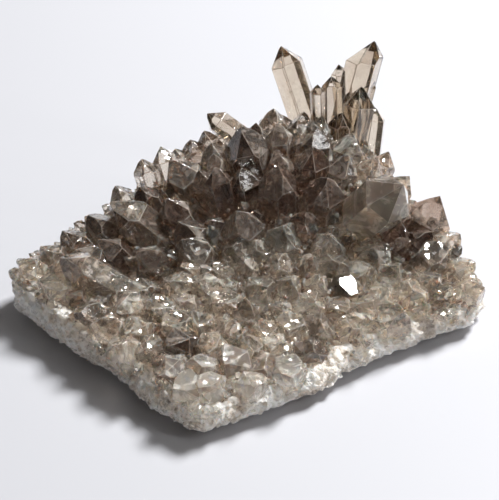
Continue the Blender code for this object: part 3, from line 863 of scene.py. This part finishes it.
# Broken faces: every grain is the nearest of the lattice's scattered seeds, and its height is a
# plane of random tilt through that seed
def brokenFaces(places, size, seed):
    scaled = places / size
    base = np.floor(scaled).astype(np.int64)
    best = np.full(len(places), 1e9)
    height = np.zeros(len(places))
    for corner in range(27):
        offset = np.array([corner % 3 - 1, corner // 3 % 3 - 1, corner // 9 - 1])
        cell = base + offset
        jitter = np.stack([cellRandom(cell, seed + k) for k in range(3)], 1) * 0.5 + 0.5
        away = scaled - (cell + jitter)
        apart = (away**2).sum(1)
        tilt = np.stack([cellRandom(cell, seed + 5 + k) for k in range(3)], 1)
        level = (away * tilt).sum(1) + 0.5 * cellRandom(cell, seed + 9)
        nearer = apart < best
        best = np.where(nearer, apart, best)
        height = np.where(nearer, level, height)
    return height


plateLook = {
    "segments": 560, "topRings": 70, "sideRings": 46, "seatRings": 10,
    "sideStops": (0.0, 0.2, 0.5, 0.75, 1.0),      # down the side from the top's edge to the seat
    "sideShares": (0.965, 0.995, 1.0, 0.93),      # of the outline at all stops but the last
    "shoulder": (0.55, 0.45), "underLift": 0.4,   # shares of the edge's height and the rim's lift
    "grain": 1.7, "depth": 0.75, "grainSeed": 11,
    "fineGrain": 0.7, "fineDepth": 0.25, "fineSeed": 29,
    "swellSize": 7.0, "swell": 0.8, "swellSeed": 3,
    "inset": 0.4, "settle": 0.3,
    "sunk": 3.0, "sunkFrom": 2.5, "sunkOver": 6.0,
    "topMove": 0.8,
}


# The plate as rings carried from the top's middle over the rim to the seat's middle. A ring is the
# outline times a share, and its points move along the outward direction by noise and broken faces.
# Inside the rim the top is sunk below the crystals' feet by a smooth step.
def plateMesh():
    look = plateLook
    form = plateForm
    angle = np.linspace(-math.pi, math.pi, look["segments"], endpoint=False)
    reach = rimRadius(angle)
    reach = (reach + np.roll(reach, 1) + np.roll(reach, -1)) / 3.0
    centre = np.array(form["centre"])

    def ringAt(share):
        return centre[0] + share * reach * np.cos(angle), centre[1] + share * reach * np.sin(angle)

    topShare = np.linspace(0.0, 1.0, look["topRings"] + 1)[1:] * look["sideShares"][0]
    sidePath = np.linspace(0.0, 1.0, look["sideRings"] + 1)[1:]
    seatShares = np.linspace(form["seatShare"], 0.0, look["seatRings"] + 1)[1:-1]
    rings = []
    for share in topShare:
        x, y = ringAt(share)
        inside = np.clip((insideMargin(x, y) - look["sunkFrom"]) / look["sunkOver"], 0.0, 1.0)
        depth = look["sunk"] * inside * inside * (3 - 2 * inside)
        rings.append(np.stack([x, y, topHeight(x, y) - look["settle"] - depth], 1))
    edgeHeight = rings[-1][:, 2]
    stops = look["sideStops"]
    shares = [*look["sideShares"], form["seatShare"]]
    flat = np.ones(look["segments"])
    lift = form["rimLift"]
    shoulder = look["shoulder"][0] * edgeHeight + look["shoulder"][1] * lift
    heights = [edgeHeight, shoulder, flat * lift, flat * (look["underLift"] * lift), flat * 0.0]
    for along in sidePath:
        x, y = ringAt(np.interp(along, stops, shares))
        slot = min(int(np.searchsorted(stops, along, side="right")) - 1, 3)
        mix = (along - stops[slot]) / (stops[slot + 1] - stops[slot])
        rings.append(np.stack([x, y, heights[slot] * (1 - mix) + heights[slot + 1] * mix], 1))
    for share in seatShares:
        rings.append(np.stack([*ringAt(share), flat * 0.0], 1))
    grid = np.array(rings)
    ringCount, segments = grid.shape[:2]
    flatGrid = grid.reshape(-1, 3)
    outward = np.tile(np.stack([np.cos(angle), np.sin(angle), flat * 0.0], 1), (ringCount, 1))
    seatFrom = look["topRings"] + look["sideRings"] - 1
    # How much a ring belongs to the side, blended over seven rings
    steep = np.zeros(ringCount)
    steep[look["topRings"] - 1:seatFrom] = 1.0
    steep = np.convolve(np.pad(steep, 3, mode="edge"), np.ones(7) / 7.0, mode="valid")
    steep = np.repeat(steep, segments)
    move = look["swell"] * latticeNoise(flatGrid, look["swellSize"], look["swellSeed"])
    move = move + look["depth"] * brokenFaces(flatGrid, look["grain"], look["grainSeed"])
    fine = brokenFaces(flatGrid, look["fineGrain"], look["fineSeed"])
    move = move + look["fineDepth"] * fine
    onSeat = np.repeat(np.arange(ringCount) >= seatFrom, segments)
    sideways = np.where(onSeat, 0.0, move * steep)
    flatGrid = flatGrid + outward * (sideways - look["inset"] * steep)[:, None]
    upwards = np.where(onSeat, 0.0, move * (1.0 - steep) * look["topMove"])
    flatGrid[:, 2] = np.maximum(flatGrid[:, 2] + upwards, 0.0)
    topMiddle = onTop(*centre) - np.array([0.0, 0.0, look["sunk"]])
    seatMiddle = np.array([*centre, 0.0])
    places = np.concatenate([flatGrid, [topMiddle, seatMiddle]])
    ring = np.arange(ringCount - 1)[:, None] * segments
    near = np.arange(segments)[None, :]
    far = (near + 1) % segments
    below = ring + segments
    quads = np.stack([ring + near, below + near, below + far, ring + far], -1)
    near, far = near[0], far[0]
    last = (ringCount - 1) * segments
    topFan = np.stack([np.full(segments, len(flatGrid)), near, far], 1)
    seatFan = np.stack([np.full(segments, len(flatGrid) + 1), last + far, last + near], 1)
    loops = np.concatenate([quads.ravel(), topFan.ravel(), seatFan.ravel()])
    sizes = np.repeat([4, 3], [(ringCount - 1) * segments, 2 * segments])
    mesh = meshFromArrays("massive_quartz", places, loops, sizes)
    smoke = mesh.attributes.new("smoke", "FLOAT", "POINT")
    smoke.data.foreach_set("value", smokeAt(places).astype(np.float32))
    return mesh


quartz = {name: quartzMaterial(name) for name in quartzFinishes}

addPiece("massive_quartz", plateMesh(), [massiveMaterial()], ["quartz_plate"])
print("stage: massive quartz")

lookRng = np.random.default_rng(7)          # one stream of draws for the looks of all crystals
planCorners = ((-60, -52), (60, 50))        # the plan that random tries cover


# Scattered places on the top: even random tries over the whole plan, and those more than a margin
# inside the rim are kept until there are enough
def scatterPlaces(count, margin, rng):
    found = np.zeros((0, 2))
    while len(found) < count:
        tries = rng.uniform(*planCorners, (count, 2))
        found = np.concatenate([found, tries[insideMargin(tries[:, 0], tries[:, 1]) > margin]])
    found = found[:count]
    return np.column_stack([found, topHeight(found[:, 0], found[:, 1])])


# Along the front rim most small crystals are left out, and so are many behind the middle
crustLook = {
    "spread": 0.45,                      # how far tip smoke may wander
    "ridgeFrom": 0.40,                   # tips smokier than this get the smoky finish
    "milkyUnder": 0.08, "milkyBelow": -31.0,
    "rootShare": 0.4,                    # a pale crystal's root smoke as a share of its tip's
    "flat": 0.10, "faceSpread": 0.5,
    "bareMargin": 7.0, "bareBelow": -16.0, "bareShare": 0.75,
    "openAbove": -8.0, "openShare": 0.45,
}
fillLook = {
    "count": 620, "widths": (1.6, 3.6), "heights": (0.5, 1.15), "root": 4.6, "wander": 0.25,
    "margin": 0.8, "seed": 5,
}
tinyLook = {
    "count": 1900, "widths": (0.7, 1.6), "heights": (0.5, 1.4), "root": 4.4, "wander": 0.3,
    "margin": 0.2, "seed": 9,
}


# Small crystals between the wide ones: each height is its width times a random share
def scatteredCrystals(look):
    count = look["count"]
    rng = np.random.default_rng(look["seed"])
    places = scatterPlaces(count, look["margin"], rng)
    widths = rng.uniform(*look["widths"], count)
    heights = widths * rng.uniform(*look["heights"], count)
    rows = scatteredRows(places, widths, heights, np.full(count, look["root"]), look["wander"], rng)
    x, y = rows[:, 0], rows[:, 1]
    chance = rng.random(count)
    bare = (insideMargin(x, y) < crustLook["bareMargin"]) & (y < crustLook["bareBelow"])
    bare = bare & (chance < crustLook["bareShare"])
    opened = (y > crustLook["openAbove"]) & (chance < crustLook["openShare"])
    return rows[~bare & ~opened]


# The crystal that throws the lamp at the camera. Its face way is half way between the directions
# to the lamp and to the camera, and other crystals' faces keep off it by an angle.
mirrorLook = {
    "place": (22.0, -12.0), "raised": 1.6,
    "lean": (0.5, -0.85, 0.0), "faceWay": (0.309, -0.257, 0.916),
    "width": 5.6, "above": 3.2, "below": 5.0, "tipSteps": (0.0, 0.5, 0.6, 0.4, 0.6, 0.5),
    "keepOff": 15.0, "seed": 3,
}


# The mirror crystal's row. Its axis lies an end face's angle off the face way, on the side it leans
# to: the cosine of the angle along the face way plus its sine along the lean square to that.
def mirrorCrystal():
    look = mirrorLook
    face = np.array(look["faceWay"]) / np.linalg.norm(look["faceWay"])
    aside = np.array(look["lean"]) - np.dot(look["lean"], face) * face
    axis = face * math.cos(endFaceTilt) + aside / np.linalg.norm(aside) * math.sin(endFaceTilt)
    foot = onTop(*look["place"]) + np.array([0.0, 0.0, look["raised"]])
    size = (look["width"], look["above"], look["below"])
    row = crystalRow(foot, axis, size, 0.0, np.random.default_rng(look["seed"]))
    across, upward, axis = (way[0] for way in crystalAxes(row[None]))
    row[9] = math.atan2(np.dot(face, upward), np.dot(face, across))
    row[16:22] = look["tipSteps"]
    return row[None]


# Crystals with a face close to the mirror's face way are turned about their axis, so that the face
# no longer throws the lamp at the camera: of six turns the one whose faces stay farthest off
def turnedOffMirror(rows):
    mirror = np.array(mirrorLook["faceWay"]) / np.linalg.norm(mirrorLook["faceWay"])
    across, upward, axis = ((way * mirror).sum(1) for way in crystalAxes(rows))
    offsets = np.radians(np.arange(0.0, 60.0, 10.0))
    sideTurns = np.radians(np.arange(0.0, 360.0, 60.0))
    around = rows[:, 9, None, None] + offsets[None, :, None] + sideTurns[None, None, :]
    side = across[:, None, None] * np.cos(around) + upward[:, None, None] * np.sin(around)
    end = math.cos(endFaceTilt) * axis[:, None, None] + math.sin(endFaceTilt) * side
    nearest = np.maximum(side, end).max(2)
    tooNear = nearest[:, 0] > math.cos(math.radians(mirrorLook["keepOff"]))
    best = np.where(tooNear, nearest.argmin(1), 0)
    turned = rows.copy()
    turned[:, 9] += offsets[best]
    return turned


# The crust's materials in their order, and the kinds of its crystals in theirs
smokyPart, cloudyPart, milkyPart, wornPart, clearPart = range(5)
crustFinishes = ["smokyQuartz", "cloudyQuartz", "milkyQuartz", "wornQuartz", "clearQuartz"]
wideKind, fillKind, tinyKind = range(3)
kindSmoke = np.array([1.0, 0.9, 0.6])

fillRows = np.concatenate([mirrorCrystal(), scatteredCrystals(fillLook)])
tinyRows = scatteredCrystals(tinyLook)
allRows = np.concatenate([turnedOffMirror(crustRows), fillRows, tinyRows])
kind = np.repeat([wideKind, fillKind, tinyKind], [len(crustRows), len(fillRows), len(tinyRows)])
tipSmoke = smokeAt(allRows) * kindSmoke[kind]
rowFinish = np.where(kind == tinyKind, milkyPart, cloudyPart)
inFront = allRows[:, 1] < crustLook["milkyBelow"]
rowFinish[(tipSmoke < crustLook["milkyUnder"]) & inFront] = milkyPart
rowFinish[tipSmoke > crustLook["ridgeFrom"]] = smokyPart
rowFinish[len(crustRows)] = clearPart     # the mirror crystal is the first of the fill
wander = lookRng.uniform(-1.0, 1.0, len(allRows)) * crustLook["spread"]
tipSmoke = np.clip(tipSmoke + wander, 0.0, 1.0)
rootSmoke = np.where(rowFinish == smokyPart, 1.0, crustLook["rootShare"]) * tipSmoke
flats = np.where(kind == wideKind, crustLook["flat"], 0.0)
crustMesh, faceOwner, worn = crystalMesh("crystal_crust", allRows, rootSmoke, tipSmoke, lookRng,
                                         flats, crustLook["faceSpread"], oneSkin=True)
addPiece("crystal_crust", crustMesh, [quartz[name] for name in crustFinishes],
         faceFinish=np.where(worn, wornPart, rowFinish[faceOwner]))
print("stage: crust,", len(allRows), "crystals,", len(crustMesh.polygons), "faces")

# Large crystals: finish, slot, smoke at the root and at the tip
largeFinishes = {
    "double_terminated_crystal": ("facetedQuartz", "smoky_quartz", -0.5, 0.45),
    "tall_left_crystal": ("clearQuartz", "pale_smoky_quartz", 0.15, 0.7),
    "crown_crystals": ("clearQuartz", "pale_smoky_quartz", 0.1, 0.5),
    "leaning_pale_crystal": ("clearQuartz", "pale_smoky_quartz", 0.0, 0.3),
    "dark_ridge_crystal": ("smokyQuartz", "smoky_quartz", 0.3, 0.9),
    "striated_left_crystal": ("veiledQuartz", "smoky_quartz", 0.05, 0.75),
    "lower_left_crystal": ("veiledQuartz", "smoky_quartz", 0.2, 0.6),
    "right_shelf_crystal": ("veiledQuartz", "smoky_quartz", 0.35, 0.8),
}
largeLook = {"spread": 0.1, "flat": 0.08, "faceSpread": 0.35}
for name, rows in largeRows.items():
    finish, slot, rootSmoke, tipSmoke = largeFinishes[name]
    pointed = largeCrystals[name][0][11]
    spread = lookRng.uniform(-largeLook["spread"], largeLook["spread"], len(rows))
    mesh, _, worn = crystalMesh(name + "_look", rows, np.full(len(rows), rootSmoke),
                                tipSmoke + spread, lookRng, largeLook["flat"],
                                largeLook["faceSpread"], pointed)
    addPiece(name + "_look", mesh, [quartz[finish], quartz["wornQuartz"]], [name], worn)
print("stage: large crystals")

sceneLook = {
    "floorSize": 3.0, "floorTone": (0.572, 0.578, 0.612), "floorRoughness": 0.6,
    "target": (0.0, 0.0, 14.0), "distance": 0.320, "elevation": 38.0, "lens": 97.17,
    "nearest": 0.01,
    "skyTone": (1.0, 0.94, 0.88), "skyStrength": 0.09,
    "bounces": 24, "glossyBounces": 8, "brightestIndirect": 40.0,
}

# Soft boxes: direction from the cluster, distance, width and height in metres, watts
softBoxes = {
    "window_light": ((0.60, 0.50, 1.0), 1.0, 0.26, 0.26, 17.0),
    "left_strip": ((-0.9, 0.75, 1.1), 1.2, 0.10, 0.8, 0.3),
    "right_strip": ((1.0, -0.35, 0.8), 1.2, 0.10, 0.8, 2.3),
}


# The floor is one square round the origin
def plainFloor():
    half = 0.5 * sceneLook["floorSize"]
    corners = [(-half, -half, 0), (half, -half, 0), (half, half, 0), (-half, half, 0)]
    mesh = bpy.data.meshes.new("floor")
    mesh.from_pydata(corners, [], [(0, 1, 2, 3)])
    floor = bpy.data.objects.new("floor", mesh)
    bpy.context.scene.collection.objects.link(floor)
    material, shader = newMaterial("paleFloor")
    shader.inputs["Base Color"].default_value = (*sceneLook["floorTone"], 1.0)
    shader.inputs["Roughness"].default_value = sceneLook["floorRoughness"]
    mesh.materials.append(material)


# The camera looks at the target from the front, lifted by the elevation, and each soft box stands
# at its distance along its direction and faces the target
def studio():
    look = sceneLook
    target = (Vector(look["target"]) - Vector(planOrigin)) * mm
    lift = math.radians(look["elevation"])
    camera = bpy.data.objects.new("camera", bpy.data.cameras.new("camera"))
    back = Vector((0.0, -math.cos(lift), math.sin(lift)))
    camera.location = target + back * look["distance"]
    camera.rotation_euler = back.to_track_quat("Z", "Y").to_euler()
    camera.data.lens = look["lens"]
    camera.data.clip_start = look["nearest"]
    bpy.context.scene.collection.objects.link(camera)
    bpy.context.scene.camera = camera
    for name, (way, distance, width, height, power) in softBoxes.items():
        way = Vector(way).normalized()
        light = bpy.data.lights.new(name, "AREA")
        light.shape = "RECTANGLE"
        light.size = width
        light.size_y = height
        light.energy = power
        lamp = bpy.data.objects.new(name, light)
        lamp.location = target + way * distance
        lamp.rotation_euler = way.to_track_quat("Z", "Y").to_euler()
        bpy.context.scene.collection.objects.link(lamp)
    world = bpy.data.worlds.new("studio")
    world.use_nodes = True
    sky = world.node_tree.nodes["Background"]
    sky.inputs["Color"].default_value = (*look["skyTone"], 1.0)
    sky.inputs["Strength"].default_value = look["skyStrength"]
    scene = bpy.context.scene
    scene.world = world
    scene.view_settings.view_transform = "Standard"
    scene.cycles.max_bounces = look["bounces"]
    scene.cycles.transmission_bounces = look["bounces"]
    scene.cycles.glossy_bounces = look["glossyBounces"]
    scene.cycles.sample_clamp_indirect = look["brightestIndirect"]


plainFloor()
studio()
print("stage: floor, light and camera")
